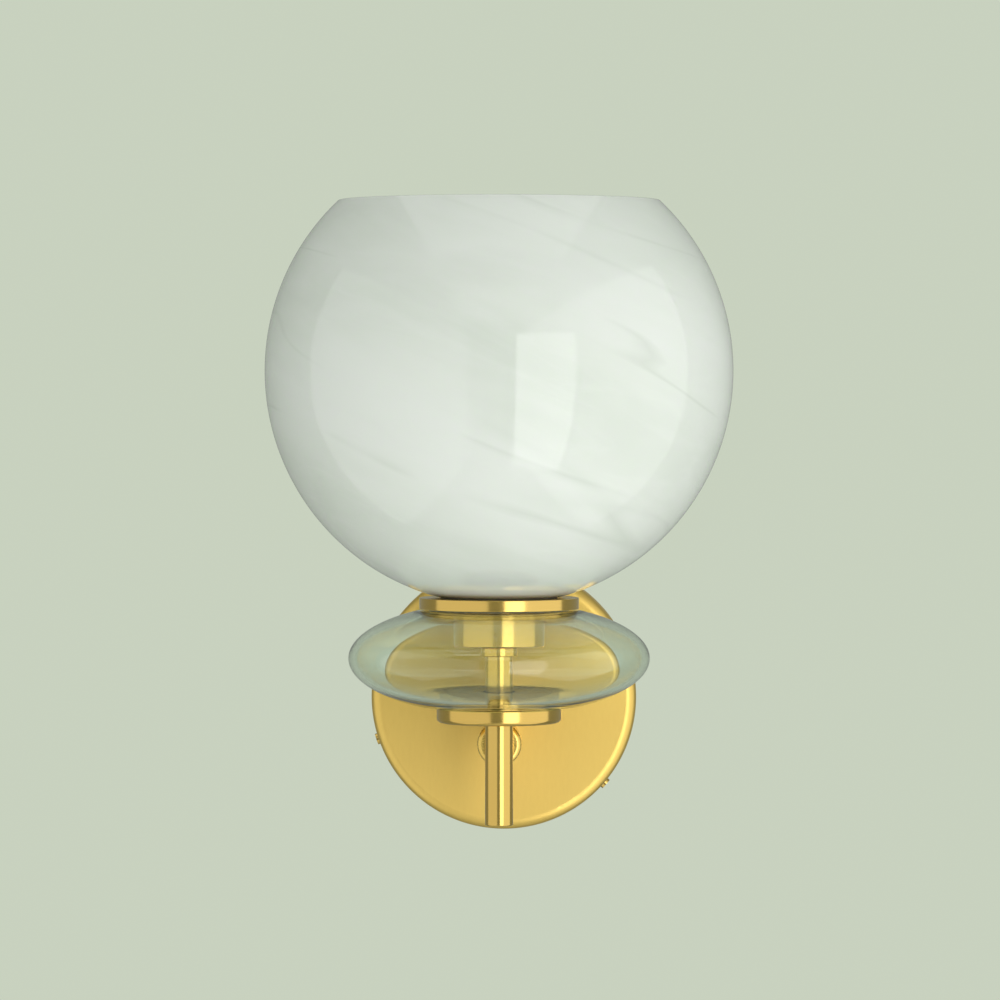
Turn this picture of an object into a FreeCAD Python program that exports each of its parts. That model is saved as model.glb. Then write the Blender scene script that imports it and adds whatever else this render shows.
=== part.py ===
import FreeCAD, Part
import math
import os
from collections import namedtuple

import Sketcher

# Uplighter wall light: a round wall plate carries a short arm, and the arm carries a stem
# on which a disc, a blown glass body, a gallery and an open alabaster globe are stacked.
# +Z is up, +X is to the right seen from the room, and the room lies towards -Y.
# The origin is the centre of the wall plate, on the wall. All lengths are in millimetres.

SIZES = {
    # wall plate: a spun dish that stands on the wall
    "plate_dia": 118.0,
    "plate_depth": 22.0,
    "plate_sheet": 1.2,
    "plate_roll": 4.5,
    # bracket screwed to the wall inside the plate
    "bracket_sheet": 2.0,
    "cable_hole_dia": 26.0,
    "slot_spacing": 76.0,
    "slot_width": 4.6,
    "slot_travel": 9.4,
    "lug_width": 12.0,
    "lug_length": 14.0,
    "lug_clear": 0.8,
    "lug_lap": 0.5,
    # screws through the side of the plate into the lugs
    "side_screw_dia": 3.0,
    "side_screw_reach": 7.5,
    "side_screw_height": 9.0,
    "side_head_dia": 5.0,
    "side_head_height": 1.3,
    "side_first_angle": -41.0,
    "driver_slot_width": 0.8,
    "driver_slot_depth": 0.6,
    # terminals and earth screw on the bracket
    "block_width": 26.0,
    "block_tall": 16.0,
    "block_depth": 12.0,
    "block_rise": 26.0,
    "pole_pitch": 8.0,
    "wire_way_dia": 3.2,
    "screw_well_dia": 3.8,
    "clamp_screw_dia": 3.6,
    "clamp_screw_height": 2.4,
    "earth_across": 30.0,
    "earth_rise": 20.0,
    "earth_screw_dia": 4.0,
    "earth_head_dia": 7.0,
    "earth_head_height": 2.4,
    "earth_washer_dia": 9.0,
    "earth_washer_thick": 0.8,
    # arm between the plate and the stem
    "stem_reach": 112.0,
    "arm_drop": 15.0,
    "arm_dia": 12.0,
    "arm_bore": 8.6,
    "arm_spigot_dia": 10.0,
    "arm_spigot_length": 8.0,
    "arm_nut_across": 14.0,
    "arm_nut_thick": 3.0,
    "arm_washer_dia": 17.0,
    "arm_washer_thick": 0.8,
    "knuckle_dia": 19.0,
    "knuckle_length": 16.0,
    "knuckle_socket": 6.0,
    "knuckle_wrap": 3.0,
    "knuckle_round": 2.0,
    "wire_hole_dia": 8.0,
    # stem and the tube that carries the stack
    "stem_dia": 12.0,
    "stem_length": 44.0,
    "stem_bore_depth": 17.0,
    "stem_edge": 0.5,
    "rod_dia": 10.0,
    "rod_bore": 8.0,
    "rod_engagement": 5.0,
    "sleeve_dia": 12.0,
    "collar_dia": 15.8,
    "collar_height": 4.4,
    # lower disc, glass body, cup and gallery
    "disc_drop": 5.4,
    "disc_dia": 53.8,
    "disc_thick": 6.5,
    "disc_under_round": 2.0,
    "disc_top_bevel": 0.7,
    "seal_thick": 0.6,
    "disc_seal_dia": 46.0,
    "glass_width": 128.8,
    "glass_swell": 48.6,
    "glass_height": 41.0,
    "glass_wall": 3.0,
    "glass_foot_hole": 14.0,
    "gallery_seal_dia": 60.0,
    "cup_dia": 39.0,
    "cup_height": 15.3,
    "cup_wall": 1.2,
    "cup_floor": 2.0,
    "cup_bevel": 1.0,
    "gallery_dia": 68.2,
    "gallery_thick": 4.8,
    "crisp_edge": 0.25,
    # alabaster globe
    "globe_dia": 200.0,
    "globe_wall": 8.0,
    "globe_seat_dia": 54.6,
    "globe_rim_rise": 72.9,
    "globe_floor": 7.8,
    "globe_rim_bevel": 0.9,
    "globe_seal_dia": 50.0,
    # lampholder and the ring that clamps the globe
    "holder_dia": 28.0,
    "holder_height": 40.0,
    "holder_wall": 1.7,
    "holder_floor": 6.0,
    "globe_hole_clear": 1.2,
    "ring_dia": 43.0,
    "ring_flange": 3.0,
    "ring_hub_dia": 35.0,
    "ring_height": 8.0,
    "ring_notch": 2.4,
    "ring_notches": 12,
    "ring_seal_thick": 0.8,
    "insert_height": 31.0,
    "insert_floor": 8.0,
    "insert_recess": 4.5,
    "contact_dia": 3.2,
    "contact_rise": 3.0,
    "shell_wall": 0.4,
    "shell_height": 19.0,
    # lamp
    "lamp_cap_dia": 13.8,
    "lamp_cap_height": 24.0,
    "lamp_cap_wall": 0.6,
    "lamp_tip_dia": 4.0,
    "lamp_tip_height": 2.0,
    "lamp_dia": 45.0,
    "lamp_length": 78.0,
    "lamp_glass": 0.9,
    "lamp_shoulder": 14.0,
    "lamp_core_dia": 9.0,
    "lamp_core_height": 50.0,
    # wires inside the light
    "wire_dia": 1.6,
    "wire_spread": 1.2,
    "wire_depth": 8.0,
    "wire_bend": 5.4,
    # fits
    "turning_clear": 0.08,
    "thread_clear": 0.05,
    "hole_clear": 0.15,
    "cup_clear": 1.0,
    "loose_clear": 0.3,
    "head_clear": 0.1,
}

doc = FreeCAD.newDocument("wall_uplighter")
sheet = doc.addObject("Spreadsheet::Sheet", "sheet")
for row, (alias, size) in enumerate(SIZES.items(), start=1):
    sheet.set(f"A{row}", alias.replace("_", " "))
    sheet.set(f"B{row}", str(size))
    sheet.setAlias(f"B{row}", alias)
doc.recompute()


def cell(alias):
    """The expression for one driving size."""
    return f"sheet.{alias}"


def half(alias):
    return f"(sheet.{alias} / 2)"


def value(expression):
    """What an expression of the sheet comes to now."""
    found = sheet.evalExpression(expression)
    return float(getattr(found, "Value", found))


# Heights on the stem axis, worked up from the disc. Each is an expression of the sheet.
DISC_UNDER = "(0 - sheet.disc_drop)"
DISC_TOP = f"({DISC_UNDER} + sheet.disc_thick)"
GLASS_FOOT = f"({DISC_TOP} + sheet.seal_thick)"
GLASS_MIDDLE = f"({GLASS_FOOT} + sheet.glass_height / 2)"
GLASS_HEAD = f"({GLASS_FOOT} + sheet.glass_height)"
GALLERY_UNDER = f"({GLASS_HEAD} + sheet.seal_thick)"
GALLERY_TOP = f"({GALLERY_UNDER} + sheet.gallery_thick)"
CUP_UNDER = f"({GALLERY_UNDER} - sheet.cup_height)"
COLLAR_UNDER = f"({CUP_UNDER} - sheet.collar_height)"
GLOBE_SEAT = f"({GALLERY_TOP} + sheet.seal_thick)"
GLOBE_MIDDLE = f"({GLOBE_SEAT} + sqrt((sheet.globe_dia / 2) ^ 2 - (sheet.globe_seat_dia / 2) ^ 2))"
GLOBE_RIM = f"({GLOBE_MIDDLE} + sheet.globe_rim_rise)"
GLOBE_FLOOR = f"({GLOBE_SEAT} + sheet.globe_floor)"
RING_UNDER = f"({GLOBE_FLOOR} + sheet.ring_seal_thick)"
HOLDER_FLOOR = f"({GALLERY_TOP} + sheet.holder_floor)"
HOLDER_TOP = f"({GALLERY_TOP} + sheet.holder_height)"
ROD_FOOT = f"({DISC_UNDER} - sheet.rod_engagement)"
ROD_TOP = HOLDER_FLOOR
INSERT_TOP = f"({HOLDER_FLOOR} + sheet.insert_height)"
INSERT_FLOOR = f"({HOLDER_FLOOR} + sheet.insert_floor)"
INSERT_RECESS = f"({HOLDER_FLOOR} + sheet.insert_recess)"
CONTACT_TOP = f"({INSERT_FLOOR} + sheet.contact_rise)"
LAMP_TIP = f"({CONTACT_TOP} + sheet.head_clear)"
LAMP_SHELL = f"({LAMP_TIP} + sheet.lamp_tip_height)"
LAMP_NECK = f"({LAMP_TIP} + sheet.lamp_cap_height)"
LAMP_MIDDLE = f"({LAMP_TIP} + sheet.lamp_length - sheet.lamp_dia / 2)"
LAMP_SHOULDER = f"({LAMP_MIDDLE} - sheet.lamp_shoulder)"

# Radii that follow from a neighbour and a clearance.
ROD_HOLE = "(sheet.rod_dia / 2 + sheet.hole_clear)"
ROD_THREAD = "(sheet.rod_dia / 2 + sheet.thread_clear)"
GLASS_HEAD_HOLE = "(sheet.cup_dia / 2 + sheet.cup_clear)"
GLOBE_HOLE = "(sheet.holder_dia / 2 + sheet.globe_hole_clear)"
PLATE_INNER = "(sheet.plate_dia / 2 - sheet.plate_sheet)"
LUG_OUTER = f"({PLATE_INNER} - sheet.lug_clear)"
BRACKET_RADIUS = f"({LUG_OUTER} - sheet.lug_lap)"
HOLDER_BORE = "(sheet.holder_dia / 2 - sheet.holder_wall)"
INSERT_RADIUS = f"({HOLDER_BORE} - sheet.hole_clear)"
SHELL_BORE = "(sheet.lamp_cap_dia / 2 + sheet.turning_clear)"
SHELL_RADIUS = f"({SHELL_BORE} + sheet.shell_wall)"
STEM_BACK = "(sheet.stem_reach - sheet.stem_dia / 2)"
PLATE_UNDERSIDE = "(sheet.plate_depth - sheet.plate_sheet)"

SIDE_SCREWS = 3
WIRE_SHARE = 0.45
UPRIGHT = FreeCAD.Rotation()
OUT_OF_WALL = FreeCAD.Rotation(FreeCAD.Vector(1, 0, 0), 90)

Corner = namedtuple("Corner", "across up rounding bevel", defaults=(None, None))
Bow = namedtuple("Bow", "radius centre")
Oval = namedtuple("Oval", "half_width half_rise centre")

parts = []


def new_body(label, axis="stem", up="0"):
    """A body whose own Z is the stem axis, or points out of the wall at a height."""
    body = doc.addObject("PartDesign::Body", label)
    body.Label = label
    if axis == "stem":
        body.Placement.Rotation = UPRIGHT
        body.setExpression("Placement.Base.y", "0 - sheet.stem_reach")
    else:
        body.Placement.Rotation = OUT_OF_WALL
        body.setExpression("Placement.Base.z", up)
    parts.append(body)
    return body


def origin_plane(body, role):
    return next(plane for plane in body.Origin.OriginFeatures if plane.Role == role)


def new_sketch(body, role="XZ_Plane"):
    sketch = body.newObject("Sketcher::SketchObject", f"{body.Name}_outline")
    sketch.AttachmentSupport = [(origin_plane(body, role), "")]
    sketch.MapMode = "FlatFace"
    return sketch


def bind(sketch, constraint, expression):
    index = sketch.addConstraint(constraint)
    sketch.setExpression(f"Constraints[{index}]", expression)


def along(start, end):
    """Unit steps across and up from one corner to the next, which share a row or column."""
    across = value(end.across) - value(start.across)
    up = value(end.up) - value(start.up)
    if abs(across) > abs(up):
        return int(math.copysign(1, across)), 0
    return 0, int(math.copysign(1, up))


def shifted(corner, step):
    setback = corner.rounding or corner.bevel
    across = f"({corner.across} + {step[0]} * ({setback}))" if step[0] else corner.across
    up = f"({corner.up} + {step[1]} * ({setback}))" if step[1] else corner.up
    return Corner(across, up)


def spread_corners(outline):
    """Replace each rounded or bevelled corner by two points, with the arc between them if
    it is rounded."""
    corners = [item for item in outline if isinstance(item, Corner)]
    spread = []
    for item in outline:
        if not isinstance(item, Corner) or not (item.rounding or item.bevel):
            spread.append(item)
            continue
        place = corners.index(item)
        back = along(item, corners[place - 1])
        ahead = along(item, corners[(place + 1) % len(corners)])
        arc = [item.rounding] if item.rounding else []
        spread += [shifted(item, back), *arc, shifted(item, ahead)]
    return spread


def sketch_outline(sketch, outline):
    """Draw a closed outline of corners, with a Bow or an Oval where a side is an arc
    about the axis. Every corner is placed, and every arc sized, by the sheet."""
    items = spread_corners(outline)
    corners = [item for item in items if isinstance(item, Corner)]
    sides = []
    for place, item in enumerate(items):
        following = items[(place + 1) % len(items)]
        if isinstance(item, Corner):
            sides.append(None if isinstance(following, Corner) else following)
    ends = []
    for place, side in enumerate(sides):
        start = corners[place]
        end = corners[(place + 1) % len(corners)]
        ends.append(draw_side(sketch, start, end, side, corners, place))
    for place, (shape, first, last) in enumerate(ends):
        after = ends[(place + 1) % len(ends)]
        sketch.addConstraint(Sketcher.Constraint("Coincident", shape, last, after[0], after[1]))
    for place, corner in enumerate(corners):
        on_arc = isinstance(sides[place], (Bow, Oval)) or isinstance(sides[place - 1], (Bow, Oval))
        place_corner(sketch, corner, ends[place], on_arc)


def place_corner(sketch, corner, end, on_arc):
    shape, first, _ = end
    if corner.across == "0":
        sketch.addConstraint(Sketcher.Constraint("PointOnObject", shape, first, -2))
        if on_arc:
            return
    elif not on_arc:
        across = Sketcher.Constraint("DistanceX", -1, 1, shape, first, value(corner.across))
        bind(sketch, across, corner.across)
    if corner.up == "0":
        sketch.addConstraint(Sketcher.Constraint("PointOnObject", shape, first, -1))
    else:
        up = Sketcher.Constraint("DistanceY", -1, 1, shape, first, value(corner.up))
        bind(sketch, up, corner.up)


def draw_side(sketch, start, end, side, corners, place):
    """Add one side. Gives its number, and which of its ends it starts and finishes on."""
    first = FreeCAD.Vector(value(start.across), value(start.up), 0)
    last = FreeCAD.Vector(value(end.across), value(end.up), 0)
    if side is None:
        return sketch.addGeometry(Part.LineSegment(first, last), False), 1, 2
    if isinstance(side, Bow):
        return draw_bow(sketch, first, last, side)
    if isinstance(side, Oval):
        return draw_oval(sketch, first, last, side)
    return draw_rounding(sketch, first, last, side, corners, place)


def draw_rounding(sketch, first, last, radius, corners, place):
    before = corners[place - 1]
    run_in = first - FreeCAD.Vector(value(before.across), value(before.up), 0)
    run_in.normalize()
    turn = run_in.cross(last - first).z
    size = value(radius)
    side_step = FreeCAD.Vector(-run_in.y, run_in.x, 0) * math.copysign(size, turn)
    centre = first + side_step
    low, high = (first, last) if turn > 0 else (last, first)
    start_angle = math.atan2(low.y - centre.y, low.x - centre.x)
    end_angle = start_angle + math.pi / 2
    circle = Part.Circle(centre, FreeCAD.Vector(0, 0, 1), size)
    shape = sketch.addGeometry(Part.ArcOfCircle(circle, start_angle, end_angle), False)
    bind(sketch, Sketcher.Constraint("Radius", shape, size), radius)
    return (shape, 1, 2) if turn > 0 else (shape, 2, 1)


def draw_bow(sketch, first, last, side):
    centre = FreeCAD.Vector(0, value(side.centre), 0)
    size = value(side.radius)
    angles = [math.atan2(point.y - centre.y, point.x) for point in (first, last)]
    circle = Part.Circle(centre, FreeCAD.Vector(0, 0, 1), size)
    shape = sketch.addGeometry(Part.ArcOfCircle(circle, min(angles), max(angles)), False)
    bind(sketch, Sketcher.Constraint("Radius", shape, size), side.radius)
    sketch.addConstraint(Sketcher.Constraint("PointOnObject", shape, 3, -2))
    bind(sketch, Sketcher.Constraint("DistanceY", -1, 1, shape, 3, centre.y), side.centre)
    return (shape, 1, 2) if angles[0] < angles[1] else (shape, 2, 1)


def draw_oval(sketch, first, last, side):
    centre = FreeCAD.Vector(0, value(side.centre), 0)
    width = value(side.half_width)
    rise = value(side.half_rise)
    ellipse = Part.Ellipse(
        centre + FreeCAD.Vector(width, 0, 0), centre + FreeCAD.Vector(0, rise, 0), centre
    )
    angles = [math.asin((point.y - centre.y) / rise) for point in (first, last)]
    shape = sketch.addGeometry(Part.ArcOfEllipse(ellipse, min(angles), max(angles)), False)
    major = sketch.GeometryCount
    minor = major + 1
    sketch.exposeInternalGeometry(shape)
    sketch.addConstraint(Sketcher.Constraint("PointOnObject", shape, 3, -2))
    bind(sketch, Sketcher.Constraint("DistanceY", -1, 1, shape, 3, centre.y), side.centre)
    bind(sketch, Sketcher.Constraint("DistanceX", -1, 1, major, 1, width), side.half_width)
    bind(sketch, Sketcher.Constraint("DistanceY", -1, 1, major, 1, centre.y), side.centre)
    top = f"{side.centre} + {side.half_rise}"
    bind(sketch, Sketcher.Constraint("DistanceY", -1, 1, minor, 1, value(top)), top)
    return (shape, 1, 2) if angles[0] < angles[1] else (shape, 2, 1)


def turned(label, outline, axis="stem", up="0"):
    """A turned piece: a half section revolved about the body's Z."""
    body = new_body(label, axis, up)
    revolve(body, outline)
    return body


def revolve(body, outline):
    sketch = new_sketch(body)
    sketch_outline(sketch, outline)
    feature = body.newObject("PartDesign::Revolution", f"{body.Name}_turned")
    feature.Profile = sketch
    feature.ReferenceAxis = (sketch, ["V_Axis"])
    feature.Angle = 360
    doc.recompute()
    return feature


def washer(outer, inner, low, high, edge=None):
    """Half section of a plain ring, with its outer edges bevelled if edge is given."""
    foot = Corner(outer, low, bevel=edge)
    head = Corner(outer, high, bevel=edge)
    return [Corner(inner, low), foot, head, Corner(inner, high)]


def rod(outer, low, high, edge=None):
    return [Corner("0", low), Corner(outer, low, bevel=edge), Corner(outer, high), Corner("0", high)]


def primitive(body, kind, name, sizes, across="0", up="0", out="0"):
    """An additive or subtractive primitive placed in the body's own axes."""
    feature = body.newObject(f"PartDesign::{kind}", f"{body.Name}_{name}")
    for key, expression in sizes.items():
        feature.setExpression(key, expression)
    feature.setExpression("Placement.Base.x", across)
    feature.setExpression("Placement.Base.y", up)
    feature.setExpression("Placement.Base.z", out)
    doc.recompute()
    return feature


def drill(body, name, radius, depth, across="0", up="0", out="0"):
    """A round hole along the body's Z that starts at out and runs up for depth."""
    return primitive(
        body, "SubtractiveCylinder", name, {"Radius": radius, "Height": depth}, across, up, out
    )


def box(body, kind, name, width, tall, deep, across="0", up="0", out="0"):
    """A box centred across and up in the body's axes, whose near face is at out."""
    sizes = {"Length": width, "Width": tall, "Height": deep}
    return primitive(
        body, kind, name, sizes, f"{across} - ({width}) / 2", f"{up} - ({tall}) / 2", out
    )


def repeat_round(body, originals, count):
    """Repeat features evenly about the body's Z."""
    pattern = body.newObject("PartDesign::PolarPattern", f"{body.Name}_ring")
    pattern.Originals = originals
    pattern.Axis = (next(line for line in body.Origin.OriginFeatures if line.Role == "Z_Axis"), [""])
    pattern.Angle = 360
    pattern.Occurrences = count
    body.Tip = pattern
    doc.recompute()
    return pattern


def make_plate():
    """Spun dish with a rolled edge, an arm hole and three screw holes in its side."""
    inner_roll = f"({cell('plate_roll')} - {cell('plate_sheet')})"
    outline = [
        Corner("0", cell("plate_depth")),
        Corner(half("plate_dia"), cell("plate_depth"), cell("plate_roll")),
        Corner(half("plate_dia"), "0"),
        Corner(PLATE_INNER, "0"),
        Corner(PLATE_INNER, PLATE_UNDERSIDE, inner_roll),
        Corner("0", PLATE_UNDERSIDE),
    ]
    body = turned("backplate", outline, axis="wall")
    arm_hole = f"({half('arm_spigot_dia')} + {cell('hole_clear')})"
    drill(
        body, "arm_hole", arm_hole, cell("plate_sheet"), up="0 - sheet.arm_drop",
        out=PLATE_UNDERSIDE,
    )
    screw_hole = f"({half('side_screw_dia')} + {cell('hole_clear')})"
    hole = drill(body, "side_hole", screw_hole, cell("plate_dia"), out=cell("side_screw_height"))
    hole.Placement.Rotation = radial_turn()
    doc.recompute()
    repeat_round(body, [hole], SIDE_SCREWS)


def radial_turn():
    """Turns Z to the direction of the first side screw, in a body that faces the room."""
    angle = math.radians(value(cell("side_first_angle")))
    out = FreeCAD.Vector(math.cos(angle), math.sin(angle), 0)
    return FreeCAD.Rotation(FreeCAD.Vector(0, 0, 1), out)


def make_bracket():
    """Flat steel ring with two slots for wall screws and three bent lugs."""
    outline = washer(BRACKET_RADIUS, half("cable_hole_dia"), "0", cell("bracket_sheet"))
    body = turned("wall_bracket", outline, axis="wall")
    for side in (-1, 1):
        across = f"({side} * {half('slot_spacing')})"
        place = {"across": across, "out": "0"}
        sheet_cut = cell("bracket_sheet")
        box(body, "SubtractiveBox", "slot", cell("slot_travel"), cell("slot_width"), sheet_cut, **place)
        for end in (-1, 1):
            end_across = f"({across} + {end} * {half('slot_travel')})"
            drill(body, "slot_end", half("slot_width"), sheet_cut, across=end_across)
    earth_hole = f"({half('earth_screw_dia')} + {cell('hole_clear')})"
    drill(
        body, "earth_hole", earth_hole, cell("bracket_sheet"),
        across="0 - sheet.earth_across", up=cell("earth_rise"),
    )
    lug = primitive(
        body, "AdditiveBox", "lug",
        {"Length": cell("bracket_sheet"), "Width": cell("lug_width"), "Height": cell("lug_length")},
    )
    turn = f"{cell('side_first_angle')}"
    near = f"({LUG_OUTER} - {cell('bracket_sheet')})"
    lug.setExpression(
        "Placement.Base.x", f"{near} * cos({turn}) + {half('lug_width')} * sin({turn})"
    )
    lug.setExpression(
        "Placement.Base.y", f"{near} * sin({turn}) - {half('lug_width')} * cos({turn})"
    )
    lug.Placement.Rotation = FreeCAD.Rotation(
        FreeCAD.Vector(0, 0, 1), value(cell("side_first_angle"))
    )
    doc.recompute()
    repeat_round(body, [lug], SIDE_SCREWS)
    lug_hole = f"({half('side_screw_dia')} + {cell('turning_clear')})"
    through = f"({LUG_OUTER} + {cell('loose_clear')})"
    hole = drill(body, "lug_hole", lug_hole, through, out=cell("side_screw_height"))
    hole.Placement.Rotation = radial_turn()
    doc.recompute()
    repeat_round(body, [hole], SIDE_SCREWS)


def make_side_screws():
    """Slotted cheese-head screws, square to the side of the plate."""
    head_under = f"({half('plate_dia')} + {cell('head_clear')})"
    head_top = f"({head_under} + {cell('side_head_height')})"
    foot = f"({head_under} - {cell('side_screw_reach')})"
    outline = [
        Corner("0", foot),
        Corner(half("side_screw_dia"), foot),
        Corner(half("side_screw_dia"), head_under),
        Corner(half("side_head_dia"), head_under),
        Corner(half("side_head_dia"), head_top),
        Corner("0", head_top),
    ]
    for number in range(SIDE_SCREWS):
        body = turned(f"side_screw_{number + 1}", outline, axis="wall")
        box(
            body, "SubtractiveBox", "driver_slot", cell("side_head_dia"),
            cell("driver_slot_width"), cell("driver_slot_depth"),
            out=f"{head_top} - {cell('driver_slot_depth')}",
        )
        angle = math.radians(value(cell("side_first_angle")) + number * 360 / SIDE_SCREWS)
        outward = FreeCAD.Vector(math.cos(angle), 0, math.sin(angle))
        body.Placement.Rotation = FreeCAD.Rotation(FreeCAD.Vector(0, 0, 1), outward)
        body.setExpression("Placement.Base.y", "0 - sheet.side_screw_height")


def make_terminals():
    """Three-pole terminal block on the bracket, with its clamp screws."""
    body = new_body("terminal_block", axis="wall")
    block_top = f"({cell('bracket_sheet')} + {cell('block_depth')})"
    box(
        body, "AdditiveBox", "block", cell("block_width"), cell("block_tall"), cell("block_depth"),
        up=cell("block_rise"), out=cell("bracket_sheet"),
    )
    screws = doc.addObject("Part::Compound", "terminal_screws")
    clamp_screws = []
    for pole in (-1, 0, 1):
        across = f"({pole} * {cell('pole_pitch')})"
        way = drill(body, "wire_way", half("wire_way_dia"), cell("block_tall"), across=across)
        way.Placement.Rotation = FreeCAD.Rotation(FreeCAD.Vector(1, 0, 0), -90)
        way.setExpression("Placement.Base.y", f"{cell('block_rise')} - {half('block_tall')}")
        way.setExpression("Placement.Base.z", cell("wire_depth"))
        drill(
            body, "screw_well", half("screw_well_dia"), cell("block_depth"), across=across,
            up=cell("block_rise"), out=cell("wire_depth"),
        )
        screw = doc.addObject("Part::Cylinder", f"terminal_screw_{pole + 2}")
        screw.setExpression("Radius", half("clamp_screw_dia"))
        screw.setExpression("Height", cell("clamp_screw_height"))
        screw.Placement.Rotation = OUT_OF_WALL
        screw.setExpression("Placement.Base.x", across)
        screw.setExpression("Placement.Base.y", f"0 - ({block_top} - {cell('clamp_screw_height')})")
        screw.setExpression("Placement.Base.z", cell("block_rise"))
        clamp_screws.append(screw)
    screws.Links = clamp_screws
    screws.Label = "terminal_screws"
    parts.append(screws)


def make_earth_screw():
    """Earth screw in the bracket, and the washer that clamps the earth wire."""
    seat = cell("bracket_sheet")
    washer_top = f"({seat} + {cell('earth_washer_thick')})"
    head_top = f"({washer_top} + {cell('earth_head_height')})"
    hole = f"({half('earth_screw_dia')} + {cell('hole_clear')})"
    ring = turned("earth_washer", washer(half("earth_washer_dia"), hole, seat, washer_top), axis="wall")
    outline = [
        Corner("0", cell("hole_clear")),
        Corner(half("earth_screw_dia"), cell("hole_clear")),
        Corner(half("earth_screw_dia"), washer_top),
        Corner(half("earth_head_dia"), washer_top),
        Corner(half("earth_head_dia"), head_top, bevel=cell("driver_slot_depth")),
        Corner("0", head_top),
    ]
    screw = turned("earth_screw", outline, axis="wall")
    box(
        screw, "SubtractiveBox", "driver_slot", cell("earth_head_dia"), cell("driver_slot_width"),
        cell("driver_slot_depth"), out=f"{head_top} - {cell('driver_slot_depth')}",
    )
    for body in (ring, screw):
        body.setExpression("Placement.Base.x", "0 - sheet.earth_across")
        body.setExpression("Placement.Base.z", cell("earth_rise"))


def make_arm():
    """Arm tube with a threaded spigot in the plate, its washer and nut, and the knuckle."""
    drop = "0 - sheet.arm_drop"
    knuckle_front = f"({STEM_BACK} + {cell('knuckle_wrap')})"
    knuckle_back = f"({knuckle_front} - {cell('knuckle_length')})"
    arm_front = f"({knuckle_back} + {cell('knuckle_socket')})"
    spigot_foot = f"({cell('plate_depth')} - {cell('arm_spigot_length')})"
    outline = [
        Corner(half("arm_bore"), spigot_foot),
        Corner(half("arm_spigot_dia"), spigot_foot),
        Corner(half("arm_spigot_dia"), cell("plate_depth")),
        Corner(half("arm_dia"), cell("plate_depth")),
        Corner(half("arm_dia"), arm_front),
        Corner(half("arm_bore"), arm_front),
    ]
    turned("arm_tube", outline, axis="wall", up=drop)

    washer_back = f"({PLATE_UNDERSIDE} - {cell('arm_washer_thick')})"
    spigot_hole = f"({half('arm_spigot_dia')} + {cell('thread_clear')})"
    ring = washer(half("arm_washer_dia"), spigot_hole, washer_back, PLATE_UNDERSIDE)
    turned("arm_washer", ring, axis="wall", up=drop)

    nut = new_body("arm_nut", axis="wall", up=drop)
    nut_back = f"({washer_back} - {cell('arm_nut_thick')})"
    primitive(
        nut, "AdditivePrism", "hexagon",
        {"Circumradius": f"{half('arm_nut_across')} / cos(30)", "Height": cell("arm_nut_thick")},
        out=nut_back,
    )
    drill(nut, "thread", spigot_hole, cell("arm_nut_thick"), out=nut_back)

    socket = f"({half('arm_dia')} + {cell('thread_clear')})"
    outline = [
        Corner(half("wire_hole_dia"), arm_front),
        Corner(socket, arm_front),
        Corner(socket, knuckle_back),
        Corner(half("knuckle_dia"), knuckle_back, cell("knuckle_round")),
        Corner(half("knuckle_dia"), knuckle_front, cell("knuckle_round")),
        Corner(half("wire_hole_dia"), knuckle_front),
    ]
    knuckle = turned("knuckle", outline, axis="wall", up=drop)
    saddle = f"({half('stem_dia')} + {cell('thread_clear')})"
    cut = drill(knuckle, "saddle", saddle, cell("knuckle_dia"), out=cell("stem_reach"))
    cut.Placement.Rotation = FreeCAD.Rotation(FreeCAD.Vector(1, 0, 0), -90)
    cut.setExpression("Placement.Base.y", "0 - sheet.knuckle_dia / 2")


def make_stem():
    """Closed stem below the disc, with a wire hole facing the arm."""
    foot = f"({DISC_UNDER} - {cell('stem_length')})"
    bore_foot = f"({DISC_UNDER} - {cell('stem_bore_depth')})"
    outline = [
        Corner("0", foot),
        Corner(half("stem_dia"), foot, bevel=cell("stem_edge")),
        Corner(half("stem_dia"), DISC_UNDER),
        Corner(ROD_THREAD, DISC_UNDER),
        Corner(ROD_THREAD, bore_foot),
        Corner("0", bore_foot),
    ]
    body = turned("stem", outline)
    hole = drill(body, "wire_hole", half("wire_hole_dia"), cell("stem_dia"), out="0 - sheet.arm_drop")
    hole.Placement.Rotation = FreeCAD.Rotation(FreeCAD.Vector(1, 0, 0), -90)


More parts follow.
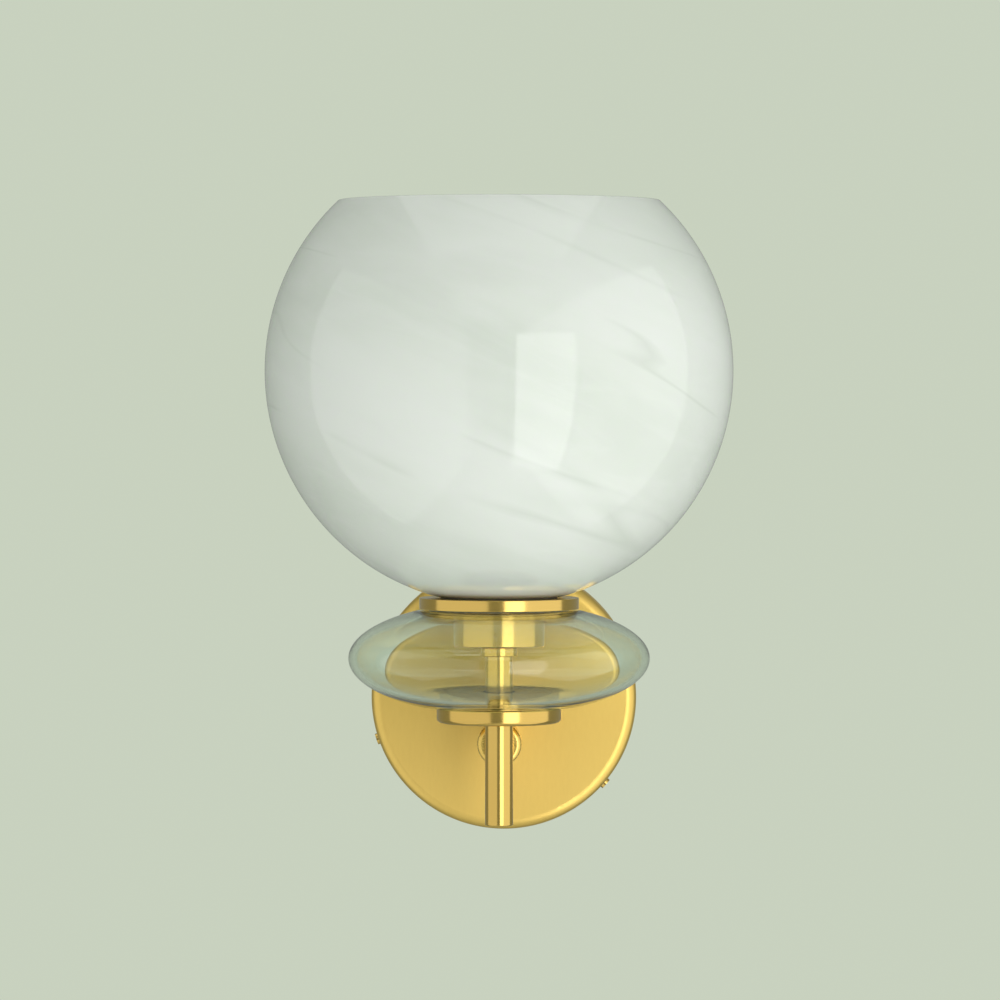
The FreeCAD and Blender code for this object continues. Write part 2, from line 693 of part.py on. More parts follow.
def make_stack():
    """The pieces threaded on the rod, from the disc up to the gallery."""
    outline = [
        Corner(ROD_HOLE, DISC_UNDER),
        Corner(half("disc_dia"), DISC_UNDER, cell("disc_under_round")),
        Corner(half("disc_dia"), DISC_TOP, bevel=cell("disc_top_bevel")),
        Corner(ROD_HOLE, DISC_TOP),
    ]
    turned("lower_disc", outline)
    seal_hole = f"({half('sleeve_dia')} + {cell('cup_clear')})"
    turned("disc_seal", washer(half("disc_seal_dia"), seal_hole, DISC_TOP, GLASS_FOOT))
    turned("inner_sleeve", washer(half("sleeve_dia"), ROD_HOLE, DISC_TOP, COLLAR_UNDER))
    turned("collar", washer(half("collar_dia"), ROD_THREAD, COLLAR_UNDER, CUP_UNDER, cell("crisp_edge")))
    cup_inner = f"({half('cup_dia')} - {cell('cup_wall')})"
    cup_inside = f"({CUP_UNDER} + {cell('cup_floor')})"
    outline = [
        Corner(ROD_HOLE, CUP_UNDER),
        Corner(half("cup_dia"), CUP_UNDER, bevel=cell("cup_bevel")),
        Corner(half("cup_dia"), GALLERY_UNDER),
        Corner(cup_inner, GALLERY_UNDER),
        Corner(cup_inner, cup_inside),
        Corner(ROD_HOLE, cup_inside),
    ]
    turned("cup", outline)
    ring = washer(half("gallery_seal_dia"), GLASS_HEAD_HOLE, GLASS_HEAD, GALLERY_UNDER)
    turned("gallery_seal", ring)
    ring = washer(half("gallery_dia"), ROD_HOLE, GALLERY_UNDER, GALLERY_TOP, cell("crisp_edge"))
    turned("gallery", ring)
    turned("threaded_rod", washer(half("rod_dia"), half("rod_bore"), ROD_FOOT, ROD_TOP))


def make_glass():
    """Blown oval shell, ground flat at its head and foot, with a hole in each."""
    outer = Oval(half("glass_width"), half("glass_swell"), GLASS_MIDDLE)
    wall = cell("glass_wall")
    inner = Oval(f"({outer.half_width} - {wall})", f"({outer.half_rise} - {wall})", GLASS_MIDDLE)
    inner_foot = f"({GLASS_FOOT} + {wall})"
    inner_head = f"({GLASS_HEAD} - {wall})"

    def oval_at(oval, height):
        return f"({oval.half_width} * sqrt(1 - (({height} - {oval.centre}) / {oval.half_rise}) ^ 2))"

    outline = [
        Corner(half("glass_foot_hole"), GLASS_FOOT),
        Corner(oval_at(outer, GLASS_FOOT), GLASS_FOOT),
        outer,
        Corner(oval_at(outer, GLASS_HEAD), GLASS_HEAD),
        Corner(GLASS_HEAD_HOLE, GLASS_HEAD),
        Corner(GLASS_HEAD_HOLE, inner_head),
        Corner(oval_at(inner, inner_head), inner_head),
        inner,
        Corner(oval_at(inner, inner_foot), inner_foot),
        Corner(half("glass_foot_hole"), inner_foot),
    ]
    turned("glass_body", outline)


def bow_at(bow, height):
    return f"sqrt({bow.radius} ^ 2 - ({height} - {bow.centre}) ^ 2)"


def make_globe():
    """Turned alabaster shell, open above and drilled below for the lampholder."""
    outer = Bow(half("globe_dia"), GLOBE_MIDDLE)
    inner = Bow(f"({half('globe_dia')} - {cell('globe_wall')})", GLOBE_MIDDLE)
    bevel = cell("globe_rim_bevel")
    rim_edge = f"({GLOBE_RIM} - {bevel})"
    rim_outer = bow_at(outer, rim_edge)
    rim_inner = bow_at(inner, rim_edge)
    outline = [
        Corner(GLOBE_HOLE, GLOBE_SEAT),
        Corner(half("globe_seat_dia"), GLOBE_SEAT),
        outer,
        Corner(rim_outer, rim_edge),
        Corner(f"({rim_outer} - {bevel})", GLOBE_RIM),
        Corner(f"({rim_inner} + {bevel})", GLOBE_RIM),
        Corner(rim_inner, rim_edge),
        inner,
        Corner(bow_at(inner, GLOBE_FLOOR), GLOBE_FLOOR),
        Corner(GLOBE_HOLE, GLOBE_FLOOR),
    ]
    turned("globe", outline)
    turned("globe_seal", washer(half("globe_seal_dia"), GLOBE_HOLE, GALLERY_TOP, GLOBE_SEAT))
    turned("ring_seal", washer(half("ring_hub_dia"), GLOBE_HOLE, GLOBE_FLOOR, RING_UNDER))


def make_lampholder():
    """Threaded sleeve on the gallery, its insert and contacts, and the clamping ring."""
    outline = [
        Corner(ROD_THREAD, GALLERY_TOP),
        Corner(half("holder_dia"), GALLERY_TOP),
        Corner(half("holder_dia"), HOLDER_TOP),
        Corner(HOLDER_BORE, HOLDER_TOP),
        Corner(HOLDER_BORE, HOLDER_FLOOR),
        Corner(ROD_THREAD, HOLDER_FLOOR),
    ]
    turned("lampholder_sleeve", outline)

    shell_seat = f"({SHELL_RADIUS} + {cell('thread_clear')})"
    outline = [
        Corner(ROD_HOLE, HOLDER_FLOOR),
        Corner(INSERT_RADIUS, HOLDER_FLOOR),
        Corner(INSERT_RADIUS, INSERT_TOP),
        Corner(shell_seat, INSERT_TOP),
        Corner(shell_seat, INSERT_FLOOR),
        Corner(half("contact_dia"), INSERT_FLOOR),
        Corner(half("contact_dia"), INSERT_RECESS),
        Corner(ROD_HOLE, INSERT_RECESS),
    ]
    turned("lampholder_insert", outline)

    pin = f"({half('contact_dia')} - {cell('thread_clear')})"
    outline = [
        Corner("0", INSERT_RECESS),
        Corner(pin, INSERT_RECESS),
        Corner(pin, INSERT_FLOOR),
        Corner(cell("contact_dia"), INSERT_FLOOR),
        Corner(cell("contact_dia"), CONTACT_TOP),
        Corner("0", CONTACT_TOP),
    ]
    turned("centre_contact", outline)
    shell_top = f"({INSERT_FLOOR} + {cell('shell_height')})"
    turned("thread_shell", washer(SHELL_RADIUS, SHELL_BORE, INSERT_FLOOR, shell_top))

    ring_bore = f"({half('holder_dia')} + {cell('turning_clear')})"
    hub_top = f"({RING_UNDER} + {cell('ring_height')})"
    flange_under = f"({hub_top} - {cell('ring_flange')})"
    ring_foot = f"({RING_UNDER} + {cell('head_clear')})"
    outline = [
        Corner(ring_bore, ring_foot),
        Corner(half("ring_hub_dia"), ring_foot),
        Corner(half("ring_hub_dia"), flange_under),
        Corner(half("ring_dia"), flange_under),
        Corner(half("ring_dia"), hub_top),
        Corner(ring_bore, hub_top),
    ]
    ring = turned("shade_ring", outline)
    notch = drill(
        ring, "notch", half("ring_notch"), cell("ring_flange"), across=half("ring_dia"),
        out=flange_under,
    )
    repeat_round(ring, [notch], SIZES["ring_notches"])


def make_lamp():
    """Golf-ball lamp: screw cap, centre tip, glass and the light column inside it."""
    wall = cell("lamp_cap_wall")
    cap = half("lamp_cap_dia")
    cap_inner = f"({cap} - {wall})"
    cap_floor = f"({LAMP_SHELL} + {wall})"
    tip_hole = f"({half('lamp_tip_dia')} + {cell('thread_clear')})"
    outline = [
        Corner(tip_hole, LAMP_SHELL),
        Corner(cap, LAMP_SHELL, bevel=wall),
        Corner(cap, LAMP_NECK),
        Corner(cap_inner, LAMP_NECK),
        Corner(cap_inner, cap_floor),
        Corner(tip_hole, cap_floor),
    ]
    turned("lamp_cap", outline)
    turned("lamp_tip", rod(half("lamp_tip_dia"), LAMP_TIP, cap_floor, wall))
    core_top = f"({cap_floor} + {cell('lamp_core_height')})"
    turned("lamp_core", rod(half("lamp_core_dia"), cap_floor, core_top))

    glass = cell("lamp_glass")
    outer = Bow(half("lamp_dia"), LAMP_MIDDLE)
    inner = Bow(f"({outer.radius} - {glass})", LAMP_MIDDLE)
    top = f"({LAMP_MIDDLE} + {outer.radius})"
    outline = [
        Corner(cap, LAMP_NECK),
        Corner(bow_at(outer, LAMP_SHOULDER), LAMP_SHOULDER),
        outer,
        Corner("0", top),
        Corner("0", f"({top} - {glass})"),
        inner,
        Corner(bow_at(inner, LAMP_SHOULDER), LAMP_SHOULDER),
        Corner(f"({cap} - {glass})", LAMP_NECK),
    ]
    turned("lamp_glass", outline)


def wire_path(points, bend):
    """Straight runs joined by tangent arcs, none wider than bend or than its runs allow."""
    edges = []
    start = points[0]
    for before, corner, after in zip(points, points[1:], points[2:]):
        run_in = corner - before
        run_out = after - corner
        turn = run_in.getAngle(run_out)
        shorter = min(run_in.Length, run_out.Length)
        radius = min(bend, WIRE_SHARE * shorter / math.tan(turn / 2))
        setback = radius * math.tan(turn / 2)
        unit_in = run_in.normalize()
        unit_out = run_out.normalize()
        arc_start = corner - unit_in * setback
        arc_end = corner + unit_out * setback
        inward = (unit_out - unit_in).normalize()
        middle = corner + inward * (radius / math.cos(turn / 2) - radius)
        edges.append(Part.LineSegment(start, arc_start).toShape())
        edges.append(Part.Arc(arc_start, middle, arc_end).toShape())
        start = arc_end
    edges.append(Part.LineSegment(start, points[-1]).toShape())
    return Part.Wire(edges)


def make_wire(label, route):
    """Insulated wire along route, as a pipe of one section."""
    points = [FreeCAD.Vector(*(value(step) for step in point)) for point in route]
    path = wire_path(points, value(cell("wire_bend")))
    start_line = points[1] - points[0]
    circle = Part.Circle(points[0], start_line, value(half("wire_dia")))
    shell = Part.BRepOffsetAPI.MakePipeShell(path)
    shell.add(Part.Wire([circle.toShape()]))
    shell.build()
    shell.makeSolid()
    piece = doc.addObject("Part::Feature", label)
    piece.Label = label
    piece.Shape = shell.shape()
    parts.append(piece)
    expected = math.pi * value(half("wire_dia")) ** 2 * path.Length
    print(label, "length", round(path.Length, 1), "volume share", round(piece.Shape.Volume / expected, 4))


def make_wires():
    """Live and neutral wires to the lampholder, and the earth wire to its screw."""
    depth = "0 - sheet.wire_depth"
    reach = "0 - sheet.stem_reach"
    drop = "0 - sheet.arm_drop"
    block_foot = f"({cell('block_rise')} - {half('block_tall')})"
    in_block = f"({block_foot} + {half('block_tall')} / 2)"
    below_block = f"({block_foot} - {half('block_tall')})"
    drawn_in = "0 - sheet.wire_spread"
    for label, side in (("live_wire", "-1"), ("neutral_wire", "1")):
        pole = f"{side} * {cell('pole_pitch')}"
        spread = f"{side} * {cell('wire_spread')}"
        route = [
            (pole, depth, in_block),
            (pole, depth, below_block),
            (spread, depth, drawn_in),
            (spread, depth, drop),
            (spread, reach, drop),
            (spread, reach, f"{INSERT_RECESS} - {cell('head_clear')}"),
        ]
        make_wire(label, route)
    block_head = f"({cell('block_rise')} + {half('block_tall')})"
    over_block = f"({block_head} + {half('block_tall')})"
    across = "0 - sheet.earth_across"
    washer_top = f"({cell('bracket_sheet')} + {cell('earth_washer_thick')})"
    on_washer = f"0 - ({washer_top} + {half('wire_dia')} + {cell('thread_clear')})"
    beside_head = f"({cell('earth_rise')} + {half('earth_head_dia')} + {cell('head_clear')})"
    route = [
        ("0", depth, cell("block_rise")),
        ("0", depth, over_block),
        (across, on_washer, over_block),
        (across, on_washer, beside_head),
    ]
    make_wire("earth_wire", route)


def check_and_write():
    """Stop at a failed feature or a bad shape, then write one file for each piece."""
    doc.recompute()
    for item in doc.Objects:
        if "Invalid" in item.State or "Error" in item.State:
            raise RuntimeError(f"{item.Name} failed: {item.State}")
    for piece in parts:
        if piece.Shape.isNull() or not piece.Shape.isValid() or not piece.Shape.Solids:
            raise RuntimeError(f"{piece.Label} has no valid shape")
    os.makedirs("parts", exist_ok=True)
    for piece in parts:
        piece.Shape.exportStep(f"parts/{piece.Label}.step")
        bounds = piece.Shape.BoundBox
        lows = [round(low, 2) for low in (bounds.XMin, bounds.YMin, bounds.ZMin)]
        highs = [round(high, 2) for high in (bounds.XMax, bounds.YMax, bounds.ZMax)]
        print(f"{piece.Label:20} {len(piece.Shape.Solids)} {piece.Shape.Volume:10.1f} {lows} {highs}")


make_plate()
make_bracket()
make_side_screws()
make_terminals()
make_earth_screw()
make_arm()
make_stem()
make_stack()
make_glass()
make_globe()
make_lampholder()
make_lamp()
make_wires()
check_and_write()
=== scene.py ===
import math

import bpy
import bmesh
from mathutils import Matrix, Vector


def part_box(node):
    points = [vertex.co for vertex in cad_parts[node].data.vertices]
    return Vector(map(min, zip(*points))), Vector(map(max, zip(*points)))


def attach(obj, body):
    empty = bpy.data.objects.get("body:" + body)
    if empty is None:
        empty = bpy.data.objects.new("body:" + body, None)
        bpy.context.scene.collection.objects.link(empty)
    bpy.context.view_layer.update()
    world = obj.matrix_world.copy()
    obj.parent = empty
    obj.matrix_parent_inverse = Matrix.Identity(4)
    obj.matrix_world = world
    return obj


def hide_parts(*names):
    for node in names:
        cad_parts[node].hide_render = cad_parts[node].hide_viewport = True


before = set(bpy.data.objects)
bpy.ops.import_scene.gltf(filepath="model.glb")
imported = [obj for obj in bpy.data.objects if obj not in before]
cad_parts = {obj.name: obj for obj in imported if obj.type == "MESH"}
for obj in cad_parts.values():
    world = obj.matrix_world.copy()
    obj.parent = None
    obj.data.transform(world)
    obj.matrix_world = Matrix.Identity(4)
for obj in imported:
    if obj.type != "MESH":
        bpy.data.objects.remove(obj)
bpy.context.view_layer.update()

# The globe, the glass, the stem, the brass stack and the lampholder's sleeve are turned again
# here, finer than in the frame and with rounded edges. Their heights come from the frame, and
# so do the outer radii of the brass and of the sleeve. Every other piece is the frame's own,
# with a finish.

# ---------------------------------------------------------------- sizes, in metres
MM = 0.001
REACH = 112 * MM                # stem axis in front of the wall
LARGE_STEPS = 192               # steps round a large turned piece
SMALL_STEPS = 96
ROUND_STEPS = 6                 # steps of a rounded corner
ON_AXIS = 1e-9                  # points this near the axis count as on it
WELD = 1e-7                     # points this near each other are joined

GLOBE_RADIUS = 100 * MM
GLOBE_WALL = 8 * MM
GLOBE_SEAT_RADIUS = 27.3 * MM
GLOBE_FLOOR = 7.8 * MM          # thickness of the stone that the ring clamps
GLOBE_HOLE = 15.2 * MM
GLOBE_RIM_ROUND = 1.2 * MM
GLOBE_OUTER_STEPS = 110
GLOBE_INNER_STEPS = 100
GLOBE_RIM_STEPS = 8

GLASS_HALF_WIDTH = 64.4 * MM
GLASS_HALF_RISE = 24.3 * MM
GLASS_WALL = 3.0 * MM
GLASS_LIP = 0.8 * MM            # bevel round the two holes
GLASS_FOOT_HOLE = 7 * MM
GLASS_CUP_CLEAR = 1.0 * MM
GLASS_OUTER_STEPS = 90
GLASS_INNER_STEPS = 80

STACK_BORE = 5.15 * MM
GALLERY_EDGE = 0.3 * MM
DISC_EDGE = 0.7 * MM
DISC_UNDER_ROUND = 2.0 * MM
COLLAR_EDGE = 0.35 * MM
SLEEVE_EDGE = 0.2 * MM
CUP_EDGE = 1.0 * MM
CUP_WALL = 1.2 * MM
CUP_FLOOR = 2 * MM

STEM_EDGE = 0.5 * MM
STEM_TOP_EDGE = 0.15 * MM
STEM_BORE = 5.05 * MM
STEM_BORE_DEPTH = 17 * MM

HOLDER_BORE = 12.3 * MM
HOLDER_PLAIN_END = 1.5 * MM
THREAD_DEPTH = 0.5 * MM
THREAD_PITCH = 2.5 * MM
THREAD_ROWS = 8                 # rows of points to one turn of the thread

SHARP_EDGE = 35                 # degrees between two faces that still shade as one
SHARP_GLASS_EDGE = 50
SHARP_THREAD_EDGE = 60


def low(node):
    """Lower corner of a node's box."""
    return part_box(node)[0]


def high(node):
    """Upper corner of a node's box."""
    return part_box(node)[1]


def foot_and_head(node):
    """Heights of the two ends of a node."""
    return low(node)[2], high(node)[2]


def radius(node):
    """Outer radius of a turned node that stands on the stem axis."""
    return round((high(node)[0] - low(node)[0]) / 2, 4)


# ---------------------------------------------------------------- turned meshes
# A profile is a closed list of (distance from the stem axis, height).
def arc(centre, size, start, end, steps):
    """Points of an arc in the half section, angles in degrees from the outward axis."""
    turns = [math.radians(start + (end - start) * step / steps) for step in range(steps + 1)]
    return [(centre[0] + size * math.cos(turn), centre[1] + size * math.sin(turn)) for turn in turns]


def oval(half_width, half_rise, middle, foot, head, steps):
    """Points up the side of an oval between two heights."""
    start = math.asin((foot - middle) / half_rise)
    end = math.asin((head - middle) / half_rise)
    turns = [start + (end - start) * step / steps for step in range(steps + 1)]
    return [(half_width * math.cos(turn), middle + half_rise * math.sin(turn)) for turn in turns]


def rounded(here, previous, following, size):
    """Points of the arc that rounds one corner between its two neighbours."""
    before = (previous - here).normalized()
    after = (following - here).normalized()
    half_angle = before.angle(after) / 2
    setback = size / math.tan(half_angle)
    start = here + before * setback
    end = here + after * setback
    middle = here + (before + after).normalized() * (size / math.sin(half_angle))
    points = []
    for step in range(ROUND_STEPS + 1):
        spoke = (start - middle).lerp(end - middle, step / ROUND_STEPS)
        points.append(tuple(middle + spoke.normalized() * size))
    return points


def soften(corners):
    """Round the corners that carry a radius: (across, up, radius)."""
    points = []
    for place, corner in enumerate(corners):
        here = Vector(corner[:2])
        if len(corner) < 3:
            points.append(tuple(here))
            continue
        previous = Vector(corners[place - 1][:2])
        following = Vector(corners[(place + 1) % len(corners)][:2])
        points += rounded(here, previous, following, corner[2])
    return points


def on_stem(across, turn, up):
    return (across * math.cos(turn), -REACH + across * math.sin(turn), up)


def band_faces(bm, ring, after, on_axis):
    """Faces between two neighbouring rings of points, some of which may lie on the axis."""
    for place in range(len(ring)):
        following = (place + 1) % len(ring)
        if on_axis[place] and on_axis[following]:
            continue
        corners = [ring[place], after[place], after[following], ring[following]]
        if on_axis[place]:
            del corners[1]
        elif on_axis[following]:
            del corners[2]
        bm.faces.new(corners)


def spin(profile_at, steps):
    """Turn a profile, which may change with the angle, round the stem axis."""
    bm = bmesh.new()
    rings = []
    for step in range(steps):
        turn = 2 * math.pi * step / steps
        rings.append([bm.verts.new(on_stem(across, turn, up)) for across, up in profile_at(turn)])
    on_axis = [across < ON_AXIS for across, up in profile_at(0)]
    for step, ring in enumerate(rings):
        band_faces(bm, ring, rings[(step + 1) % steps], on_axis)
    return bm


def add_piece(name, bm, material, node, sharp):
    """Put a turned mesh into the scene in place of a node of the frame."""
    bmesh.ops.remove_doubles(bm, verts=bm.verts, dist=WELD)
    bmesh.ops.recalc_face_normals(bm, faces=bm.faces)
    mesh = bpy.data.meshes.new(name)
    bm.to_mesh(mesh)
    bm.free()
    for face in mesh.polygons:
        face.use_smooth = True
    mesh.set_sharp_from_angle(angle=math.radians(sharp))
    mesh.materials.append(material)
    piece = bpy.data.objects.new(name, mesh)
    bpy.context.scene.collection.objects.link(piece)
    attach(piece, "root")
    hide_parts(node)
    return piece


def lathe(name, profile, material, node, steps=LARGE_STEPS, sharp=SHARP_EDGE):
    """A piece turned from one profile."""
    return add_piece(name, spin(lambda turn: profile, steps), material, node, sharp)


# ---------------------------------------------------------------- node materials
def new_material(name):
    """A node material, its tree and its main shader."""
    material = bpy.data.materials.new(name)
    material.use_nodes = True
    tree = material.node_tree
    return material, tree, tree.nodes["Principled BSDF"]


def output_of(tree):
    return next(node for node in tree.nodes if node.type == "OUTPUT_MATERIAL")


def put(tree, kind, **settings):
    """A new node in a tree, with its settings."""
    node = tree.nodes.new(kind)
    for key, setting in settings.items():
        setattr(node, key, setting)
    return node


def mapped(tree, vector, scale, turn=(0, 0, 0)):
    node = put(tree, "ShaderNodeMapping")
    node.inputs["Scale"].default_value = scale
    node.inputs["Rotation"].default_value = turn
    tree.links.new(vector, node.inputs["Vector"])
    return node.outputs["Vector"]


def object_position(tree, scale=(1, 1, 1), turn=(0, 0, 0)):
    place = put(tree, "ShaderNodeTexCoord")
    return mapped(tree, place.outputs["Object"], scale, turn)


def noise(tree, vector, scale, detail, rough=0.55, distortion=0.0):
    node = put(tree, "ShaderNodeTexNoise")
    node.inputs["Scale"].default_value = scale
    node.inputs["Detail"].default_value = detail
    node.inputs["Roughness"].default_value = rough
    node.inputs["Distortion"].default_value = distortion
    tree.links.new(vector, node.inputs["Vector"])
    return node.outputs["Fac"]


def ramp(tree, value, stops):
    node = put(tree, "ShaderNodeValToRGB")
    elements = node.color_ramp.elements
    while len(elements) < len(stops):
        elements.new(0.5)
    for element, (position, colour) in zip(elements, stops):
        element.position = position
        element.color = (*colour, 1)
    tree.links.new(value, node.inputs["Fac"])
    return node.outputs["Color"]


def span(tree, value, source, target):
    """Carry one range of a value over to another."""
    node = put(tree, "ShaderNodeMapRange")
    node.inputs["From Min"].default_value = source[0]
    node.inputs["From Max"].default_value = source[1]
    node.inputs["To Min"].default_value = target[0]
    node.inputs["To Max"].default_value = target[1]
    tree.links.new(value, node.inputs["Value"])
    return node.outputs["Result"]


def feed(tree, socket, source):
    """Give a socket a number, a colour or another node's output."""
    if isinstance(source, (int, float)):
        socket.default_value = source
    elif isinstance(source, tuple):
        socket.default_value = (*source, 1)
    else:
        tree.links.new(source, socket)


def maths(tree, operation, first, second=0.0):
    node = put(tree, "ShaderNodeMath", operation=operation)
    feed(tree, node.inputs[0], first)
    feed(tree, node.inputs[1], second)
    return node.outputs[0]


def mix_colour(tree, share, first, second):
    node = put(tree, "ShaderNodeMix", data_type="RGBA")
    for socket, source in zip((node.inputs[0], node.inputs[6], node.inputs[7]), (share, first, second)):
        feed(tree, socket, source)
    return node.outputs[2]


def bump(tree, shader, height, strength, distance):
    node = put(tree, "ShaderNodeBump")
    node.inputs["Strength"].default_value = strength
    node.inputs["Distance"].default_value = distance
    tree.links.new(height, node.inputs["Height"])
    tree.links.new(node.outputs["Normal"], shader.inputs["Normal"])


# ---------------------------------------------------------------- brass
BRASS = (0.84, 0.575, 0.150)
BRASS_PALE = (0.87, 0.61, 0.175)
BRASS_DARK = (0.60, 0.385, 0.085)
FULL_TONE = (1, 1, 1)
# painted shade: a darker, less green copy of the brass colour for the upright and level pieces, which are the
# same brass as the plate
SHADED_BRASS_TONE = (0.88, 0.85, 0.88)
MIDDLE_OF_NOISE = (0.3, 0.7)    # the part of a noise's range that most of it lies in


def toned(colour, tone):
    """A colour with each part scaled by its own share."""
    return tuple(share * part for share, part in zip(tone, colour))


def brass(name, grain, tone=FULL_TONE, rough=(0.13, 0.18)):
    """Satin lacquered brass. Grain stretches the brush marks: large numbers run across them."""
    material, tree, shader = new_material(name)
    marks = noise(tree, object_position(tree, grain), scale=1.0, detail=5, rough=0.7)
    cloud = noise(tree, object_position(tree), scale=9, detail=2, rough=0.5)
    # a tone below one darkens the brass colour, which paints shade into it
    colour = ramp(tree, cloud, [(0.30, toned(BRASS, tone)), (0.72, toned(BRASS_PALE, tone))])
    marked = mix_colour(tree, span(tree, marks, MIDDLE_OF_NOISE, (0.0, 0.10)), colour, BRASS_DARK)
    tree.links.new(marked, shader.inputs["Base Color"])
    tree.links.new(span(tree, marks, MIDDLE_OF_NOISE, rough), shader.inputs["Roughness"])
    shader.inputs["Metallic"].default_value = 1.0
    bump(tree, shader, marks, strength=0.05, distance=0.2 * MM)
    return material


# ---------------------------------------------------------------- stone
STONE_WHITE = (0.80, 0.83, 0.79)
STONE_MILK = (0.765, 0.80, 0.75)
STONE_GREY = (0.72, 0.76, 0.705)
STONE_VEIN = (0.56, 0.60, 0.54)
STONE_FALL = math.radians(-22)  # the bands fall to the right
BAND_STRETCH = (0.30, 0.7, 2.2)
VEIN_STRETCH = (0.16, 0.4, 2.6)
STONE_IOR = 1.53
STONE_DEPTH = 12 * MM           # how far light spreads under the face


def thin_lines(tree, vector, scale, width, distortion):
    """1 along the lines where a noise crosses its middle, 0 away from them."""
    wave = noise(tree, vector, scale, detail=2, rough=0.5, distortion=distortion)
    off_middle = maths(tree, "ABSOLUTE", maths(tree, "SUBTRACT", wave, 0.5))
    return span(tree, off_middle, (0.0, width), (1.0, 0.0))


def stone_colour(tree, banded, veined, cloud, wisp):
    """Milky bands, wisps between them, and wide and fine veins that come and go."""
    base = ramp(tree, cloud, [(0.34, STONE_GREY), (0.50, STONE_MILK), (0.64, STONE_WHITE)])
    milky = mix_colour(tree, span(tree, wisp, (0.46, 0.66), (0.0, 0.45)), base, STONE_WHITE)
    spots = noise(tree, object_position(tree), scale=13, detail=2)
    patch = span(tree, spots, (0.47, 0.62), (0.0, 1.0))
    wide_lines = thin_lines(tree, banded, scale=7, width=0.040, distortion=0.2)
    fine_lines = thin_lines(tree, veined, scale=8, width=0.012, distortion=0.15)
    wide = maths(tree, "MULTIPLY", wide_lines, maths(tree, "MULTIPLY", patch, 0.55))
    fine = maths(tree, "MULTIPLY", fine_lines, maths(tree, "MULTIPLY", patch, 0.34))
    return mix_colour(tree, fine, mix_colour(tree, wide, milky, STONE_GREY), STONE_VEIN)


def alabaster():
    """Polished white stone with soft bands and thin grey veins that fall to the right."""
    material, tree, shader = new_material("alabaster")
    slope = object_position(tree, turn=(0, STONE_FALL, 0))
    banded = mapped(tree, slope, BAND_STRETCH)
    veined = mapped(tree, slope, VEIN_STRETCH)
    cloud = noise(tree, banded, scale=9, detail=4, rough=0.5, distortion=0.4)
    wisp = noise(tree, banded, scale=42, detail=6, rough=0.62, distortion=0.8)
    tree.links.new(stone_colour(tree, banded, veined, cloud, wisp), shader.inputs["Base Color"])
    tree.links.new(span(tree, cloud, MIDDLE_OF_NOISE, (0.05, 0.08)), shader.inputs["Roughness"])
    shader.inputs["Subsurface Weight"].default_value = 0.7
    shader.inputs["Subsurface Radius"].default_value = (0.8, 0.9, 0.75)
    shader.inputs["Subsurface Scale"].default_value = STONE_DEPTH
    shader.inputs["IOR"].default_value = STONE_IOR
    bump(tree, shader, wisp, strength=0.01, distance=0.2 * MM)
    return material


# ---------------------------------------------------------------- glass
GLASS_CLEAR = (0.93, 0.96, 0.94)
GLASS_CLEARER = (0.97, 0.985, 0.975)
GLASS_TINT = (0.47, 0.585, 0.43)
GLASS_TINT_DENSITY = 62         # per metre
GLASS_IOR = 1.45


def green_glass():
    """Clear blown glass, grey-green in its thickness, with a slow wave in its surface."""
    material, tree, shader = new_material("green_glass")
    cloud = noise(tree, object_position(tree), scale=22, detail=2, rough=0.5)
    tree.links.new(ramp(tree, cloud, [(0.3, GLASS_CLEAR), (0.7, GLASS_CLEARER)]), shader.inputs["Base Color"])
    tree.links.new(span(tree, cloud, (0.0, 1.0), (0.0, 0.015)), shader.inputs["Roughness"])
    shader.inputs["Transmission Weight"].default_value = 1.0
    shader.inputs["IOR"].default_value = GLASS_IOR
    waves = noise(tree, object_position(tree, (1, 1, 0.6)), scale=30, detail=2, rough=0.5)
    bump(tree, shader, waves, strength=0.03, distance=0.6 * MM)
    tint = put(tree, "ShaderNodeVolumeAbsorption")
    tint.inputs["Color"].default_value = (*GLASS_TINT, 1)
    tint.inputs["Density"].default_value = GLASS_TINT_DENSITY
    tree.links.new(tint.outputs[0], output_of(tree).inputs["Volume"])
    return material


# ---------------------------------------------------------------- plain finishes
def moulded(name, dark, light, rough, metallic=0.0, scale=90, strength=0.08):
    """A moulded surface: two close tones over a fine texture."""
    material, tree, shader = new_material(name)
    cloud = noise(tree, object_position(tree), scale, detail=4, rough=0.6)
    tree.links.new(ramp(tree, cloud, [(0.3, dark), (0.7, light)]), shader.inputs["Base Color"])
    tree.links.new(span(tree, cloud, MIDDLE_OF_NOISE, rough), shader.inputs["Roughness"])
    shader.inputs["Metallic"].default_value = metallic
    bump(tree, shader, cloud, strength, distance=0.3 * MM)
    return material


def metal(name, dark, light, rough, scale=200):
    """A plated or bare metal surface."""
    return moulded(name, dark, light, rough, metallic=1.0, scale=scale)


ALABASTER = alabaster()
GLASS = green_glass()
# the upright and level brass carry painted shade through the darker tone; the plate and the arm keep the full
# colour
BRASS_UPRIGHT = brass("brass_upright", (900, 900, 14), SHADED_BRASS_TONE)
BRASS_LEVEL = brass("brass_level", (60, 60, 1400), SHADED_BRASS_TONE)
BRASS_FACE = brass("brass_face", (700, 60, 160), rough=(0.38, 0.43))
BRASS_ARM = brass("brass_arm", (900, 14, 900), rough=(0.24, 0.30))
STEEL = metal("zinc_plate", (0.52, 0.53, 0.54), (0.68, 0.69, 0.70), (0.32, 0.46), scale=260)
CONTACT = metal("contact_brass", (0.66, 0.48, 0.20), (0.82, 0.62, 0.28), (0.22, 0.34))
CAP_METAL = metal("lamp_metal", (0.66, 0.66, 0.66), (0.82, 0.82, 0.82), (0.22, 0.32))
PLASTIC = moulded("block_plastic", (0.78, 0.77, 0.72), (0.84, 0.83, 0.78), (0.45, 0.55))
RUBBER = moulded("seal_rubber", (0.13, 0.135, 0.125), (0.18, 0.185, 0.17), (0.55, 0.7), scale=300)
HOLDER = moulded("holder_plastic", (0.72, 0.70, 0.64), (0.79, 0.77, 0.71), (0.28, 0.38))
